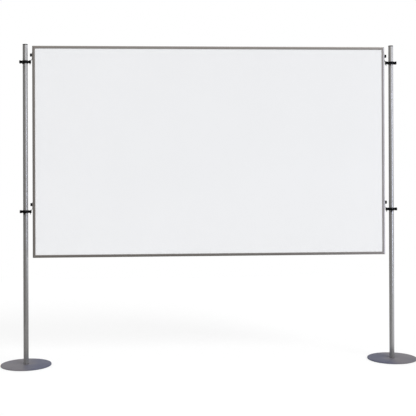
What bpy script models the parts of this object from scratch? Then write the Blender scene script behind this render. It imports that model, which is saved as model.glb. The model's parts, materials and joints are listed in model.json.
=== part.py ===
"""Info board hung between two round posts, each standing on a flat disc.

Metres, +Z up, +X to the viewer's right and +Y away from the viewer. The
origin is on the floor, midway between the posts. The board hangs by four bent
hooks in the pockets of four clamps, and each clamp grips its post through a
split sleeve that a thumb lever presses on.
"""

import math

import bmesh
import bpy
from mathutils import Matrix

# Fit of neighbouring pieces
CLEARANCE = 0.0003

# Board and its aluminium frame
BOARD_WIDTH = 2.000
BOARD_HEIGHT = 1.188
FRAME_FACE = 0.015
FRAME_DEPTH = 0.022
FRAME_WALL = 0.0014
FRAME_ROUND = 0.0022
REBATE_DEPTH = 0.0075
SHEET_THICK = 0.0008
SHEET_EDGE_PLAY = 0.0005
KEY_LEG = 0.038
KEY_CHAMFER = 0.0012

# Stands
POST_HEIGHT = 1.800
TUBE_DIAMETER = 0.028
TUBE_WALL = 0.0015
CAP_HEIGHT = 0.0045
CAP_ROUND = 0.0012
CAP_STEM = 0.012
CAP_WALL = 0.0015
DISC_DIAMETER = 0.280
DISC_THICK = 0.006
DISC_ROUND = 0.0015
FLOOR_RING_THICK = 0.0012
FLOOR_RING_WIDTH = 0.020
FLOOR_RING_INSET = 0.004
BOLT_DIAMETER = 0.010
BOLT_HEAD_DIAMETER = 0.018
BOLT_LENGTH = 0.026
BOLT_SOCKET_SIDES = 6
BOLT_SOCKET_ACROSS = 0.006
BOLT_SOCKET_DEPTH = 0.003
PLUG_HEIGHT = 0.030
PLUG_CHAMFER = 0.001
BORE_SPARE = 0.002

# Where the board and the clamps sit on the posts
BOARD_BELOW_TOP = 0.010
UPPER_CLAMP_DROP = 0.090
LOWER_CLAMP_RISE = 0.259

# Split sleeve between post and clamp
SLEEVE_WALL = 0.0015
SLEEVE_LIP = 0.0022
SLEEVE_LIP_THICK = 0.0011
SLEEVE_SLIT = 0.004

# Clamp
RING_WALL = 0.0034
RING_CHAMFER = 0.0008
NECK_LENGTH = 0.002
NECK_WIDTH = 0.012
NECK_ROOT_ANGLE = math.radians(42)
POCKET_INNER_WALL = 0.0042
POCKET_OUTER_WALL = 0.0037
POCKET_SIDE_WALL = 0.0036
POCKET_MOUTH = 0.0015
BLOCK_ROUND = 0.003
BLOCK_EDGE = 0.0008
BOSS_PROUD = 0.004
BOSS_WALL = 0.0014
RING_ABOVE_BOSS = 0.0005
NECK_STEP = 0.001
BLOCK_STEP = 0.0015

# Hook on the side of the frame
HOOK_THICK = 0.002
HOOK_WIDTH = 0.014
HOOK_BEND = 0.003
HOOK_CORNER = 0.003
HOOK_SCREW_RISE = 0.039
HOOK_ABOVE_SCREW = 0.013
HOOK_JOG_RUN = 0.0057
HOOK_JOG_RISE = 0.0062
TONGUE_PROUD = 0.009
TONGUE_TIP_WIDTH = 0.007
TONGUE_TAPER = 0.008
CLAMP_TO_FRAME = 0.008

# Screws of the hooks and the clamps
SCREW_DIAMETER = 0.006
INSERT_WALL = 0.001
INSERT_COLLAR = 0.0015
INSERT_COLLAR_THICK = 0.0012
CLAMP_INSERT_LENGTH = 0.0054
HEAD_DIAMETER = 0.018
HEAD_THICK = 0.009
HEAD_COLLAR_DIAMETER = 0.011
HEAD_COLLAR_THICK = 0.0012
HEAD_FLUTES = 10
HEAD_FLUTE_POINTS = 3
HEAD_FLUTE_DEPTH = 0.0006
HEAD_EDGE = 0.0008
STUD_SPARE = 0.0003
HUB_RADIUS = 0.006
HUB_LENGTH = 0.010
HUB_ROUND = 0.0015
LEVER_REACH = 0.019
LEVER_ROOT_WIDTH = 0.009
LEVER_TIP_WIDTH = 0.007
LEVER_THICK = 0.005
LEVER_EDGE = 0.0008
LEVER_LEAN = 0.12

# How far each thumb lever is turned from straight down towards the viewer's left
LEVER_TURNS = {
    "left_upper": math.radians(34),
    "left_lower": math.radians(20),
    "right_upper": math.radians(49),
    "right_lower": math.radians(34),
}

# Facets
ROUND_STEPS = 24
SMALL_STEPS = 16
DISC_STEPS = 48
BEND_STEPS = 4
CORNER_STEPS = 2
WELD = 0.000001
SMOOTH_ANGLE = math.radians(35)
BEVEL_ANGLE = math.radians(50)
OVERLAP = 0.001
AXIS_MARK = 0.05

# Turns what stands on +Z to face the viewer
FORWARD = Matrix.Rotation(math.pi / 2, 4, "X")

# Levels on the post
DISC_BOTTOM = FLOOR_RING_THICK + CLEARANCE
DISC_TOP = DISC_BOTTOM + DISC_THICK
TUBE_BOTTOM = DISC_TOP + CLEARANCE
TUBE_TOP = POST_HEIGHT - CAP_HEIGHT - CLEARANCE
BOARD_TOP = POST_HEIGHT - BOARD_BELOW_TOP
BOARD_BOTTOM = BOARD_TOP - BOARD_HEIGHT
BOARD_MIDDLE = (BOARD_TOP + BOARD_BOTTOM) / 2
CLAMP_LEVELS = {
    "upper": BOARD_TOP - UPPER_CLAMP_DROP,
    "lower": BOARD_BOTTOM + LOWER_CLAMP_RISE,
}

# Radii from the post outwards
TUBE_RADIUS = TUBE_DIAMETER / 2
TUBE_INSIDE = TUBE_RADIUS - TUBE_WALL
SLEEVE_INSIDE = TUBE_RADIUS + CLEARANCE
SLEEVE_OUTSIDE = SLEEVE_INSIDE + SLEEVE_WALL
RING_INSIDE = SLEEVE_OUTSIDE + CLEARANCE
RING_OUTSIDE = RING_INSIDE + RING_WALL

# Screw holes, their inserts and the boss round one
SCREW_RADIUS = SCREW_DIAMETER / 2
SCREW_HOLE = SCREW_RADIUS + CLEARANCE
INSERT_RADIUS = SCREW_HOLE + INSERT_WALL
INSERT_HOLE = INSERT_RADIUS + CLEARANCE
BOSS_RADIUS = INSERT_HOLE + BOSS_WALL
BOSS_FACE = RING_OUTSIDE + BOSS_PROUD

# Heights of the clamp's parts
RING_HEIGHT = 2 * (BOSS_RADIUS + RING_ABOVE_BOSS)
NECK_HEIGHT = RING_HEIGHT - 2 * NECK_STEP
BLOCK_HEIGHT = RING_HEIGHT + 2 * BLOCK_STEP

# Distances from the post axis towards the board
SLOT_THICK = HOOK_THICK + 2 * CLEARANCE
SLOT_WIDTH = HOOK_WIDTH + 2 * CLEARANCE
BLOCK_WIDTH = SLOT_WIDTH + 2 * POCKET_SIDE_WALL
BLOCK_START = RING_OUTSIDE + NECK_LENGTH
POCKET_REACH = BLOCK_START + POCKET_INNER_WALL + SLOT_THICK / 2
BLOCK_END = POCKET_REACH + SLOT_THICK / 2 + POCKET_OUTER_WALL
POST_OFFSET = BLOCK_END + CLAMP_TO_FRAME
HOOK_PLATE_FACE = POST_OFFSET - CLEARANCE - HOOK_THICK
POST_X = BOARD_WIDTH / 2 + POST_OFFSET

# Room inside the frame
SLOT_HALF = FRAME_DEPTH / 2 - FRAME_WALL
CHAMBER_START = REBATE_DEPTH + FRAME_WALL
CHAMBER_END = FRAME_FACE - FRAME_WALL
CORE_THICK = 2 * SLOT_HALF - 2 * SHEET_THICK - 4 * CLEARANCE


def clear_scene():
    for thing in list(bpy.data.objects):
        bpy.data.objects.remove(thing, do_unlink=True)


def new_collection(name):
    made = bpy.data.collections.new(name)
    bpy.context.scene.collection.children.link(made)
    return made


def new_material(name, colour, roughness, metallic=0.0):
    made = bpy.data.materials.new(name)
    made.use_nodes = True
    shader = made.node_tree.nodes["Principled BSDF"]
    shader.inputs["Base Color"].default_value = (*colour, 1.0)
    shader.inputs["Roughness"].default_value = roughness
    shader.inputs["Metallic"].default_value = metallic
    return made


def blank(data):
    """A loose object in the cutters' collection, where a shape is worked on."""
    piece = bpy.data.objects.new("blank", data)
    piece.hide_render = True
    piece.display_type = "WIRE"
    cutters.objects.link(piece)
    return piece


def settled(piece):
    """The piece as its curve or its modifiers leave it: one welded mesh with its faces outwards."""
    graph = bpy.context.evaluated_depsgraph_get()
    mesh = bpy.data.meshes.new_from_object(piece.evaluated_get(graph), depsgraph=graph)
    bpy.data.objects.remove(piece, do_unlink=True)
    shape = bmesh.new()
    shape.from_mesh(mesh)
    bmesh.ops.remove_doubles(shape, verts=shape.verts, dist=WELD)
    bmesh.ops.recalc_face_normals(shape, faces=shape.faces)
    shape.to_mesh(mesh)
    shape.free()
    return mesh


def combined(first, second, operation):
    body = blank(first)
    tool = blank(second)
    step = body.modifiers.new("combine", "BOOLEAN")
    step.operation = operation
    step.solver = "EXACT"
    step.object = tool
    mesh = settled(body)
    bpy.data.objects.remove(tool, do_unlink=True)
    return mesh


def joined(first, *others):
    for other in others:
        first = combined(first, other, "UNION")
    return first


def cut(body, *tools):
    for tool in tools:
        body = combined(body, tool, "DIFFERENCE")
    return body


def moved(mesh, matrix):
    mesh.transform(matrix)
    return mesh


def box(size, centre=(0, 0, 0)):
    shape = bmesh.new()
    bmesh.ops.create_cube(shape, size=1.0)
    bmesh.ops.scale(shape, vec=size, verts=shape.verts)
    bmesh.ops.translate(shape, vec=centre, verts=shape.verts)
    mesh = bpy.data.meshes.new("box")
    shape.to_mesh(mesh)
    shape.free()
    return mesh


def rod(radius, low, high, steps, top_radius=None):
    """A cylinder along Z from low to high, or a cone where the top radius differs."""
    shape = bmesh.new()
    bmesh.ops.create_cone(
        shape,
        cap_ends=True,
        segments=steps,
        radius1=radius,
        radius2=radius if top_radius is None else top_radius,
        depth=high - low,
    )
    bmesh.ops.translate(shape, vec=(0, 0, (low + high) / 2), verts=shape.verts)
    mesh = bpy.data.meshes.new("rod")
    shape.to_mesh(mesh)
    shape.free()
    return mesh


def turned(profile, steps, ring=False):
    """A profile of (radius, height), read down its outer side, turned once about Z."""
    mesh = bpy.data.meshes.new("profile")
    edges = [(i, i + 1) for i in range(len(profile) - 1)]
    if ring:
        edges.append((len(profile) - 1, 0))
    mesh.from_pydata([(radius, 0, height) for radius, height in profile], edges, [])
    piece = blank(mesh)
    screw = piece.modifiers.new("turn", "SCREW")
    screw.axis = "Z"
    screw.angle = math.tau
    screw.steps = steps
    screw.render_steps = steps
    screw.use_merge_vertices = True
    screw.merge_threshold = WELD
    return settled(piece)


def plate(loops, thickness):
    """A flat outline in XY, with any further loops as its holes, thick along Z."""
    curve = bpy.data.curves.new("outline", "CURVE")
    curve.dimensions = "2D"
    curve.fill_mode = "BOTH"
    curve.extrude = thickness / 2
    for loop in loops:
        spline = curve.splines.new("POLY")
        spline.points.add(len(loop) - 1)
        for point, (x, y) in zip(spline.points, loop):
            point.co = (x, y, 0, 1)
        spline.use_cyclic_u = True
    return settled(blank(curve))


def arc(x, y, radius, start, end, steps):
    angles = [start + (end - start) * i / steps for i in range(steps + 1)]
    return [(x + radius * math.cos(a), y + radius * math.sin(a)) for a in angles]


def rounded_rim(radius, top, rounding):
    """Points of a turned profile round its upper outer edge, read outwards and down."""
    return arc(radius - rounding, top - rounding, rounding, math.pi / 2, 0, CORNER_STEPS)


def circle(x, y, radius, steps):
    return arc(x, y, radius, 0, math.tau, steps)[:-1]


def rounded_rectangle(width, height, radius, steps):
    x = width / 2 - radius
    y = height / 2 - radius
    quarter = math.pi / 2
    corners = [(x, y), (-x, y), (-x, -y), (x, -y)]
    points = []
    for i, (corner_x, corner_y) in enumerate(corners):
        points += arc(corner_x, corner_y, radius, i * quarter, (i + 1) * quarter, steps)
    return points


def bevelled(mesh, width):
    """The rims of an upright shape taken off, leaving its rounded sides alone."""
    piece = blank(mesh)
    bevel = piece.modifiers.new("edges", "BEVEL")
    bevel.width = width
    bevel.segments = 1
    bevel.limit_method = "ANGLE"
    bevel.angle_limit = BEVEL_ANGLE
    return settled(piece)


def place(name, mesh, finish, parent, location=(0, 0, 0), turn=(0, 0, 0)):
    """One named piece, which may share its mesh with its copies."""
    if not mesh.materials:
        mesh.materials.append(finish)
        mesh.shade_smooth()
        mesh.set_sharp_from_angle(angle=SMOOTH_ANGLE)
    piece = bpy.data.objects.new(name, mesh)
    piece.parent = parent
    piece.location = location
    piece.rotation_euler = turn
    parts.objects.link(piece)
    return piece


def axis_empty(name, location):
    empty = bpy.data.objects.new(name, None)
    empty.empty_display_size = AXIS_MARK
    empty.location = location
    parts.objects.link(empty)
    return empty


# Frame of the board


def frame_section():
    """The extrusion's outline, open to the board at x = 0, and the chamber for the corner keys."""
    half = FRAME_DEPTH / 2
    corner = FRAME_FACE - FRAME_ROUND
    outline = [(0, -half)]
    outline += arc(corner, -half + FRAME_ROUND, FRAME_ROUND, -math.pi / 2, 0, CORNER_STEPS)
    outline += arc(corner, half - FRAME_ROUND, FRAME_ROUND, 0, math.pi / 2, CORNER_STEPS)
    outline += [(0, half), (0, SLOT_HALF), (REBATE_DEPTH, SLOT_HALF)]
    outline += [(REBATE_DEPTH, -SLOT_HALF), (0, -SLOT_HALF)]
    chamber = [
        (CHAMBER_START, -SLOT_HALF),
        (CHAMBER_END, -SLOT_HALF),
        (CHAMBER_END, SLOT_HALF),
        (CHAMBER_START, SLOT_HALF),
    ]
    return [outline, chamber]


def frame_member(length, screw_heights=()):
    """An extrusion along Z with mitred ends, its outer side at +X, drilled for the hook screws."""
    mesh = plate(frame_section(), length)
    for vertex in mesh.vertices:
        back = FRAME_FACE - vertex.co.x + CLEARANCE / math.sqrt(2)
        vertex.co.z -= math.copysign(back, vertex.co.z)
    for height in screw_heights:
        drill = rod(INSERT_HOLE, CHAMBER_END - OVERLAP, FRAME_FACE + OVERLAP, SMALL_STEPS)
        to_side = Matrix.Translation((0, 0, height)) @ Matrix.Rotation(math.pi / 2, 4, "Y")
        mesh = cut(mesh, moved(drill, to_side))
    return mesh


def corner_key():
    """An L of two legs that run left and down from its outer corner at the origin."""
    thick = CHAMBER_END - CHAMBER_START - 2 * CLEARANCE
    lead = KEY_CHAMFER
    outline = [
        (0, 0),
        (lead - KEY_LEG, 0),
        (-KEY_LEG, -lead),
        (-KEY_LEG, lead - thick),
        (lead - KEY_LEG, -thick),
        (-thick, -thick),
        (-thick, lead - KEY_LEG),
        (lead - thick, -KEY_LEG),
        (-lead, -KEY_LEG),
        (0, lead - KEY_LEG),
    ]
    return moved(plate([outline], 2 * (SLOT_HALF - CLEARANCE)), FORWARD)


def frame_insert():
    """Threaded insert in the outer wall of a stile: its face at z = 0, its thread inwards."""
    collar_top = -FRAME_WALL - CLEARANCE
    collar_bottom = collar_top - INSERT_COLLAR_THICK
    bottom = CLEARANCE + CHAMBER_START - FRAME_FACE
    profile = [
        (SCREW_HOLE, 0),
        (INSERT_RADIUS, 0),
        (INSERT_RADIUS, collar_top),
        (INSERT_RADIUS + INSERT_COLLAR, collar_top),
        (INSERT_RADIUS + INSERT_COLLAR, collar_bottom),
        (INSERT_RADIUS, collar_bottom),
        (INSERT_RADIUS, bottom),
        (SCREW_HOLE, bottom),
    ]
    return turned(profile, SMALL_STEPS, ring=True)


def make_board():
    centre = axis_empty("board_centre", (0, 0, BOARD_MIDDLE))
    screw_heights = [
        level + HOOK_SCREW_RISE - BOARD_MIDDLE for level in CLAMP_LEVELS.values()
    ]
    stile = frame_member(BOARD_HEIGHT, screw_heights)
    rail = frame_member(BOARD_WIDTH)
    side = BOARD_WIDTH / 2 - FRAME_FACE
    rise = BOARD_HEIGHT / 2 - FRAME_FACE
    quarter = math.pi / 2
    place("right_stile", stile, anodised, centre, (side, 0, 0))
    place("left_stile", stile, anodised, centre, (-side, 0, 0), (0, 0, math.pi))
    place("top_rail", rail, anodised, centre, (0, 0, rise), (0, -quarter, 0))
    place("bottom_rail", rail, anodised, centre, (0, 0, -rise), (0, quarter, 0))

    key = corner_key()
    key_x = BOARD_WIDTH / 2 - FRAME_WALL - CLEARANCE
    key_z = BOARD_HEIGHT / 2 - FRAME_WALL - CLEARANCE
    corners = [
        ("top_right_key", key_x, key_z, 0),
        ("bottom_right_key", key_x, -key_z, quarter),
        ("bottom_left_key", -key_x, -key_z, 2 * quarter),
        ("top_left_key", -key_x, key_z, 3 * quarter),
    ]
    for name, x, z, turn in corners:
        place(name, key, cast, centre, (x, 0, z), (0, turn, 0))

    reach = REBATE_DEPTH - SHEET_EDGE_PLAY - FRAME_FACE
    width = BOARD_WIDTH + 2 * reach
    height = BOARD_HEIGHT + 2 * reach
    sheet = box((width, SHEET_THICK, height))
    sheet_y = SLOT_HALF - CLEARANCE - SHEET_THICK / 2
    place("front_sheet", sheet, laminate, centre, (0, -sheet_y, 0))
    place("back_sheet", sheet, laminate, centre, (0, sheet_y, 0))
    place("board_core", box((width, CORE_THICK, height)), card, centre)


# Stands


def end_cap():
    """A push-in cap: its head stands on the tube at z = 0, its hollow stem goes down inside."""
    stem = TUBE_INSIDE - CLEARANCE
    profile = [(0, CAP_HEIGHT)] + rounded_rim(TUBE_RADIUS, CAP_HEIGHT, CAP_ROUND)
    profile += [
        (TUBE_RADIUS, 0),
        (stem, 0),
        (stem, -CAP_STEM),
        (stem - CAP_WALL, -CAP_STEM),
        (stem - CAP_WALL, -CAP_WALL),
        (0, -CAP_WALL),
    ]
    return turned(profile, ROUND_STEPS)


def post_tube():
    profile = [
        (TUBE_INSIDE, TUBE_TOP),
        (TUBE_RADIUS, TUBE_TOP),
        (TUBE_RADIUS, TUBE_BOTTOM),
        (TUBE_INSIDE, TUBE_BOTTOM),
    ]
    return turned(profile, ROUND_STEPS, ring=True)


def post_plug():
    """Threaded plug fixed in the foot of the tube, with a blind bore for the bolt from below."""
    radius = TUBE_INSIDE - CLEARANCE
    bore = BOLT_DIAMETER / 2 + CLEARANCE
    depth = DISC_BOTTOM + CLEARANCE + BOLT_LENGTH + BORE_SPARE - TUBE_BOTTOM
    profile = [
        (0, PLUG_HEIGHT),
        (radius - PLUG_CHAMFER, PLUG_HEIGHT),
        (radius, PLUG_HEIGHT - PLUG_CHAMFER),
        (radius, 0),
        (bore, 0),
        (bore, depth),
        (0, depth),
    ]
    return turned(profile, ROUND_STEPS)


def base_disc():
    """Round plate with a softened rim and a countersunk hole, its underside at z = 0."""
    radius = DISC_DIAMETER / 2
    hole = BOLT_DIAMETER / 2 + CLEARANCE
    sink = BOLT_HEAD_DIAMETER / 2 + 2 * CLEARANCE
    profile = [(hole, DISC_THICK)] + rounded_rim(radius, DISC_THICK, DISC_ROUND)
    profile += [(radius, 0), (sink, 0), (hole, sink - hole)]
    return turned(profile, DISC_STEPS, ring=True)


def base_bolt():
    """Countersunk bolt, head down, its flat head at z = 0, with a hexagonal socket."""
    radius = BOLT_DIAMETER / 2
    head = BOLT_HEAD_DIAMETER / 2
    profile = [
        (0, BOLT_LENGTH),
        (radius - PLUG_CHAMFER, BOLT_LENGTH),
        (radius, BOLT_LENGTH - PLUG_CHAMFER),
        (radius, head - radius),
        (head, 0),
        (0, 0),
    ]
    corner_radius = BOLT_SOCKET_ACROSS / 2 / math.cos(math.pi / BOLT_SOCKET_SIDES)
    socket = rod(corner_radius, -OVERLAP, BOLT_SOCKET_DEPTH, BOLT_SOCKET_SIDES)
    return cut(turned(profile, SMALL_STEPS), socket)


def floor_ring():
    outside = DISC_DIAMETER / 2 - FLOOR_RING_INSET
    inside = outside - FLOOR_RING_WIDTH
    profile = [
        (inside, FLOOR_RING_THICK),
        (outside, FLOOR_RING_THICK),
        (outside, 0),
        (inside, 0),
    ]
    return turned(profile, DISC_STEPS, ring=True)


def make_stands():
    shapes = [
        ("post", post_tube(), silver, 0),
        ("end_cap", end_cap(), grey_plastic, TUBE_TOP + CLEARANCE),
        ("post_plug", post_plug(), steel, TUBE_BOTTOM),
        ("base_disc", base_disc(), powder, DISC_BOTTOM),
        ("base_bolt", base_bolt(), zinc, DISC_BOTTOM + CLEARANCE),
        ("floor_ring", floor_ring(), rubber, 0),
    ]
    for side, axis in post_axes.items():
        for name, mesh, finish, height in shapes:
            place(f"{side}_{name}", mesh, finish, axis, (0, 0, height))


# Clamps and their sleeves


def clamp_ring():
    half = RING_HEIGHT / 2
    profile = [
        (0, half),
        (RING_OUTSIDE - RING_CHAMFER, half),
        (RING_OUTSIDE, half - RING_CHAMFER),
        (RING_OUTSIDE, RING_CHAMFER - half),
        (RING_OUTSIDE - RING_CHAMFER, -half),
        (0, -half),
    ]
    return turned(profile, ROUND_STEPS)


def clamp_necks():
    """Both arms in one outline: each leaves the ring in a hollow sweep and runs into its block."""
    root_x = RING_OUTSIDE * math.cos(NECK_ROOT_ANGLE)
    root_y = RING_OUTSIDE * math.sin(NECK_ROOT_ANGLE)
    end_x = BLOCK_START + OVERLAP
    end_y = NECK_WIDTH / 2
    bend = (root_x + (root_y - end_y) * math.tan(NECK_ROOT_ANGLE) / 2, end_y)
    sweep = []
    for i in range(BEND_STEPS + 1):
        t = i / BEND_STEPS
        x = (1 - t) ** 2 * root_x + 2 * t * (1 - t) * bend[0] + t**2 * end_x
        y = (1 - t) ** 2 * root_y + 2 * t * (1 - t) * bend[1] + t**2 * end_y
        sweep.append((x, y))
    upper = sweep[::-1] + [(-x, y) for x, y in sweep]
    lower = [(-x, -y) for x, y in sweep[::-1]] + [(x, -y) for x, y in sweep]
    return plate([upper + lower], NECK_HEIGHT)


def clamp_block(side):
    outline = rounded_rectangle(BLOCK_END - BLOCK_START, BLOCK_WIDTH, BLOCK_ROUND, CORNER_STEPS)
    block = bevelled(plate([outline], BLOCK_HEIGHT), BLOCK_EDGE)
    return moved(block, Matrix.Translation((side * (BLOCK_START + BLOCK_END) / 2, 0, 0)))


def clamp_boss():
    """The boss that the lever's screw goes through, on the viewer's side of the ring."""
    root = RING_INSIDE + CLEARANCE
    cone = rod(BOSS_RADIUS + RING_ABOVE_BOSS / 2, root, BOSS_FACE, SMALL_STEPS, BOSS_RADIUS)
    return moved(cone, FORWARD)


def pocket_cutters(side):
    """A slot down through the block, and the slanting mouth that leads the hook into it."""
    slot = box((SLOT_THICK, SLOT_WIDTH, BLOCK_HEIGHT + 2 * OVERLAP))
    mouth = bmesh.new()
    bmesh.ops.create_cube(mouth, size=1.0)
    top = BLOCK_HEIGHT / 2 + OVERLAP
    bottom = BLOCK_HEIGHT / 2 - POCKET_MOUTH - OVERLAP
    for vertex in mouth.verts:
        upper = vertex.co.z > 0
        spread = POCKET_MOUTH + OVERLAP if upper else -OVERLAP
        vertex.co.x = math.copysign(SLOT_THICK / 2 + spread, vertex.co.x)
        vertex.co.y = math.copysign(SLOT_WIDTH / 2 + spread, vertex.co.y)
        vertex.co.z = top if upper else bottom
    funnel = bpy.data.meshes.new("mouth")
    mouth.to_mesh(funnel)
    mouth.free()
    shift = Matrix.Translation((side * POCKET_REACH, 0, 0))
    return moved(slot, shift), moved(funnel, shift)


def clamp_body():
    body = joined(clamp_ring(), clamp_necks(), clamp_block(-1), clamp_block(1), clamp_boss())
    bore = rod(RING_INSIDE, -BLOCK_HEIGHT, BLOCK_HEIGHT, ROUND_STEPS)
    seat_end = BOSS_FACE - 2 * CLEARANCE - CLAMP_INSERT_LENGTH
    seat = moved(rod(INSERT_HOLE, seat_end, BOSS_FACE + OVERLAP, SMALL_STEPS), FORWARD)
    screw_hole = moved(rod(SCREW_HOLE, 0, BOSS_FACE, SMALL_STEPS), FORWARD)
    body = cut(body, bore, seat, screw_hole)
    for side in (-1, 1):
        body = cut(body, *pocket_cutters(side))
    return body


def clamp_insert():
    """Threaded insert of the boss, on the Y axis, a hair behind the boss's face."""
    front = BOSS_FACE - CLEARANCE
    back = front - CLAMP_INSERT_LENGTH
    profile = [
        (SCREW_HOLE, front),
        (INSERT_RADIUS, front),
        (INSERT_RADIUS, back),
        (SCREW_HOLE, back),
    ]
    return moved(turned(profile, SMALL_STEPS, ring=True), FORWARD)


def grip_sleeve():
    """A split liner that a lip above and below the ring keeps in the clamp, its slit at the back."""
    lip = SLEEVE_OUTSIDE + SLEEVE_LIP
    inner = RING_HEIGHT / 2 + CLEARANCE
    outer = inner + SLEEVE_LIP_THICK
    profile = [
        (SLEEVE_INSIDE, outer),
        (lip, outer),
        (lip, inner),
        (SLEEVE_OUTSIDE, inner),
        (SLEEVE_OUTSIDE, -inner),
        (lip, -inner),
        (lip, -outer),
        (SLEEVE_INSIDE, -outer),
    ]
    slit = box((SLEEVE_SLIT, 2 * lip, 4 * outer), (0, lip, 0))
    return cut(turned(profile, ROUND_STEPS, ring=True), slit)


def clamp_lever():
    """Thumb lever and its screw on the Y axis, the arm pointing straight down."""
    back = BOSS_FACE + CLEARANCE
    front = back + HUB_LENGTH
    tip = SLEEVE_OUTSIDE + CLEARANCE
    profile = [(0, front)] + rounded_rim(HUB_RADIUS, front, HUB_ROUND)
    profile += [(HUB_RADIUS, back), (SCREW_RADIUS, back), (SCREW_RADIUS, tip), (0, tip)]
    hub = turned(profile, SMALL_STEPS)

    end = LEVER_REACH - LEVER_TIP_WIDTH / 2
    outline = [(-LEVER_ROOT_WIDTH / 2, 0)]
    outline += arc(0, -end, LEVER_TIP_WIDTH / 2, math.pi, math.tau, 2 * CORNER_STEPS)
    outline += [(LEVER_ROOT_WIDTH / 2, 0)]
    arm = bevelled(plate([outline], LEVER_THICK), LEVER_EDGE)
    for vertex in arm.vertices:
        vertex.co.z -= LEVER_LEAN * vertex.co.y
    arm = moved(arm, Matrix.Translation((0, 0, (back + front) / 2)))
    return moved(joined(hub, arm), FORWARD)


# Hooks and their thumb screws


def hook_stations():
    """The bent centre line, from its top: length along it, the point, and the way its outside faces.

    The first number of a point is its distance from the post axis towards the board.
    """
    plate_line = HOOK_PLATE_FACE + HOOK_THICK / 2
    shelf = BLOCK_HEIGHT / 2 + CLEARANCE + HOOK_THICK / 2
    corners = [
        (plate_line, HOOK_SCREW_RISE + HOOK_ABOVE_SCREW),
        (plate_line, shelf + HOOK_JOG_RISE),
        (plate_line - HOOK_JOG_RUN, shelf),
        (POCKET_REACH, shelf),
        (POCKET_REACH, -BLOCK_HEIGHT / 2 - TONGUE_PROUD),
    ]
    stations = []
    length = 0.0

    def heading_after(i):
        x = corners[i + 1][0] - corners[i][0]
        z = corners[i + 1][1] - corners[i][1]
        return math.atan2(z, x)

    def add(x, z, heading, step):
        nonlocal length
        length += step
        stations.append((length, x, z, math.sin(heading), -math.cos(heading)))

    add(*corners[0], heading_after(0), 0.0)
    for i in range(1, len(corners) - 1):
        before = heading_after(i - 1)
        turn = math.remainder(heading_after(i) - before, math.tau)
        tangent = HOOK_BEND * math.tan(abs(turn) / 2)
        side = math.copysign(HOOK_BEND, turn)
        start_x = corners[i][0] - tangent * math.cos(before)
        start_z = corners[i][1] - tangent * math.sin(before)
        centre_x = start_x - side * math.sin(before)
        centre_z = start_z + side * math.cos(before)
        straight = math.dist((start_x, start_z), stations[-1][1:3])
        add(start_x, start_z, before, straight)
        for step in range(1, BEND_STEPS + 1):
            heading = before + turn * step / BEND_STEPS
            x = centre_x + side * math.sin(heading)
            z = centre_z - side * math.cos(heading)
            add(x, z, heading, HOOK_BEND * abs(turn) / BEND_STEPS)
    last = corners[-1]
    add(*last, heading_after(len(corners) - 2), math.dist(last, stations[-1][1:3]))
    return stations


def hook():
    """A strip cut flat, with its screw hole and tapered tongue, then bent along its centre line."""
    stations = hook_stations()
    total = stations[-1][0]
    half = HOOK_WIDTH / 2
    tip = TONGUE_TIP_WIDTH / 2
    flat = [(-half, total - TONGUE_TAPER), (-tip, total), (tip, total), (half, total - TONGUE_TAPER)]
    inset = half - HOOK_CORNER
    flat += arc(inset, HOOK_CORNER, HOOK_CORNER, 0, -math.pi / 2, CORNER_STEPS)
    flat += arc(-inset, HOOK_CORNER, HOOK_CORNER, -math.pi / 2, -math.pi, CORNER_STEPS)
    hole = circle(0, HOOK_ABOVE_SCREW, SCREW_HOLE, SMALL_STEPS)
    mesh = plate([flat, hole], HOOK_THICK)

    shape = bmesh.new()
    shape.from_mesh(mesh)
    for station in stations[1:-1]:
        everything = shape.verts[:] + shape.edges[:] + shape.faces[:]
        bmesh.ops.bisect_plane(
            shape, geom=everything, dist=WELD, plane_co=(0, station[0], 0), plane_no=(0, 1, 0)
        )
    for vertex in shape.verts:
        across, along, out = vertex.co
        i = 0
        while i < len(stations) - 2 and along > stations[i + 1][0] + WELD:
            i += 1
        before = stations[i]
        after = stations[i + 1]
        share = (along - before[0]) / (after[0] - before[0])
        x, z, out_x, out_z = [a + (b - a) * share for a, b in zip(before[1:], after[1:])]
        vertex.co = (x + out * out_x, across, z + out * out_z)
    bmesh.ops.recalc_face_normals(shape, faces=shape.faces)
    shape.to_mesh(mesh)
    shape.free()
    return mesh


def thumb_screw():
    """Fluted head, collar and screw along Z, with the hook's outer face at z = 0."""
    head_bottom = CLEARANCE + HEAD_COLLAR_THICK
    rim_points = HEAD_FLUTES * HEAD_FLUTE_POINTS
    rim = []
    for i in range(rim_points):
        angle = math.tau * i / rim_points
        wave = (1 + math.cos(HEAD_FLUTES * angle)) / 2
        radius = HEAD_DIAMETER / 2 - HEAD_FLUTE_DEPTH * (1 - wave)
        rim.append((radius * math.cos(angle), radius * math.sin(angle)))
    head = bevelled(plate([rim], HEAD_THICK), HEAD_EDGE)
    head = moved(head, Matrix.Translation((0, 0, head_bottom + HEAD_THICK / 2)))
    tip = CHAMBER_START - FRAME_FACE + STUD_SPARE - HOOK_THICK
    profile = [
        (0, head_bottom + OVERLAP),
        (HEAD_COLLAR_DIAMETER / 2, head_bottom + OVERLAP),
        (HEAD_COLLAR_DIAMETER / 2, CLEARANCE),
        (SCREW_RADIUS, CLEARANCE),
        (SCREW_RADIUS, tip),
        (0, tip),
    ]
    return joined(head, turned(profile, SMALL_STEPS))


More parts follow.
